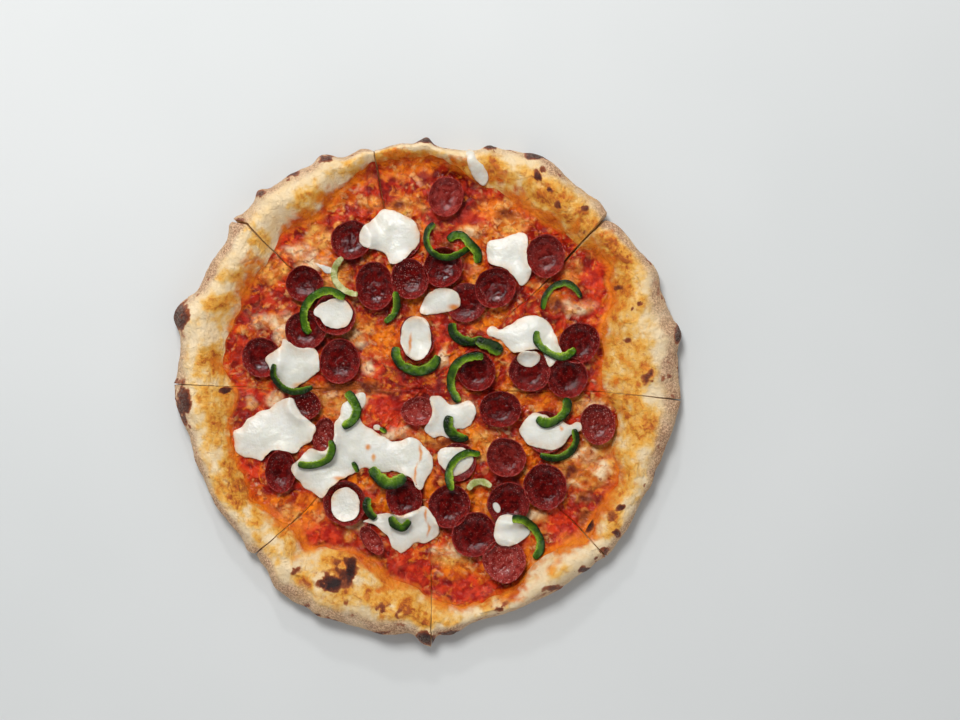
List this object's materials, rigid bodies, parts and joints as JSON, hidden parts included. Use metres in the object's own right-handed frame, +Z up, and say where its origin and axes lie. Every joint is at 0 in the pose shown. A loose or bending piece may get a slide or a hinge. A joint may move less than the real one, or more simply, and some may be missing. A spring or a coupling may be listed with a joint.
{
  "type": "sliced pepperoni pizza with green chilli and fresh white cheese",
  "caption": "Whole round baked pizza with a puffed crust rim, cut into wedges that lie together, topped with curled pepperoni, green chilli rings and soft white cheese.",
  "frame": {"origin": "middle of the pizza's bounding box, on its underside", "axes": "+Z up through the toppings, +Y towards the picture's top, +X towards the picture's right"},
  "size_m": [0.331, 0.3304, 0.0252],
  "materials": {
    "baked_crust": "baked dough, cream to golden brown, floury and speckled outside, oily inside the rim",
    "sauce_and_cheese": "tomato sauce and melted cheese, red to orange and pale yellow, oily",
    "pepperoni": "cured sausage, dark maroon with lighter rims, oily",
    "fresh_cheese": "fresh white cheese, moist and smooth",
    "green_chilli": "green chilli skin with pale flesh, shiny"
  },
  "bodies": {
    "root": {"chilli_02": "green_chilli", "chilli_05": "green_chilli", "chilli_06_07": "green_chilli", "chilli_08_09": "green_chilli", "chilli_10": "green_chilli", "chilli_11": "green_chilli", "chilli_21": "green_chilli", "dough_slice_1": "baked_crust", "dough_slice_2": "baked_crust", "dough_slice_3": "baked_crust", "dough_slice_4": "baked_crust", "dough_slice_5": "baked_crust", "dough_slice_6": "baked_crust", "dough_slice_7": "baked_crust", "dough_slice_8": "baked_crust", "fresh_cheese_east": "fresh_cheese", "fresh_cheese_middle": "fresh_cheese", "fresh_cheese_middle_east": "fresh_cheese", "fresh_cheese_middle_north": "fresh_cheese", "fresh_cheese_north": "fresh_cheese", "fresh_cheese_north_east": "fresh_cheese", "fresh_cheese_rim_north": "fresh_cheese", "fresh_cheese_south": "fresh_cheese", "fresh_cheese_south_east": "fresh_cheese", "fresh_cheese_south_of_middle": "fresh_cheese", "fresh_cheese_south_small": "fresh_cheese", "fresh_cheese_south_west": "fresh_cheese", "fresh_cheese_west": "fresh_cheese", "melted_layer_1": "sauce_and_cheese", "melted_layer_2": "sauce_and_cheese", "melted_layer_3": "sauce_and_cheese", "melted_layer_4": "sauce_and_cheese", "melted_layer_5": "sauce_and_cheese", "melted_layer_6": "sauce_and_cheese", "melted_layer_7": "sauce_and_cheese", "melted_layer_8": "sauce_and_cheese", "pepperoni_01": "pepperoni", "pepperoni_02": "pepperoni", "pepperoni_03_04_05": "pepperoni", "pepperoni_06_13": "pepperoni", "pepperoni_07": "pepperoni", "pepperoni_08_09": "pepperoni", "pepperoni_10": "pepperoni", "pepperoni_11": "pepperoni", "pepperoni_12": "pepperoni", "pepperoni_15": "pepperoni", "pepperoni_16": "pepperoni", "pepperoni_17_18_19": "pepperoni", "pepperoni_20": "pepperoni", "pepperoni_21": "pepperoni", "pepperoni_22": "pepperoni", "pepperoni_23_24": "pepperoni", "pepperoni_25_26_27": "pepperoni", "pepperoni_28": "pepperoni", "pepperoni_29": "pepperoni", "pepperoni_30": "pepperoni", "pepperoni_31": "pepperoni", "pepperoni_32": "pepperoni", "pepperoni_33": "pepperoni", "pepperoni_34": "pepperoni"}
  },
  "joints": []
}
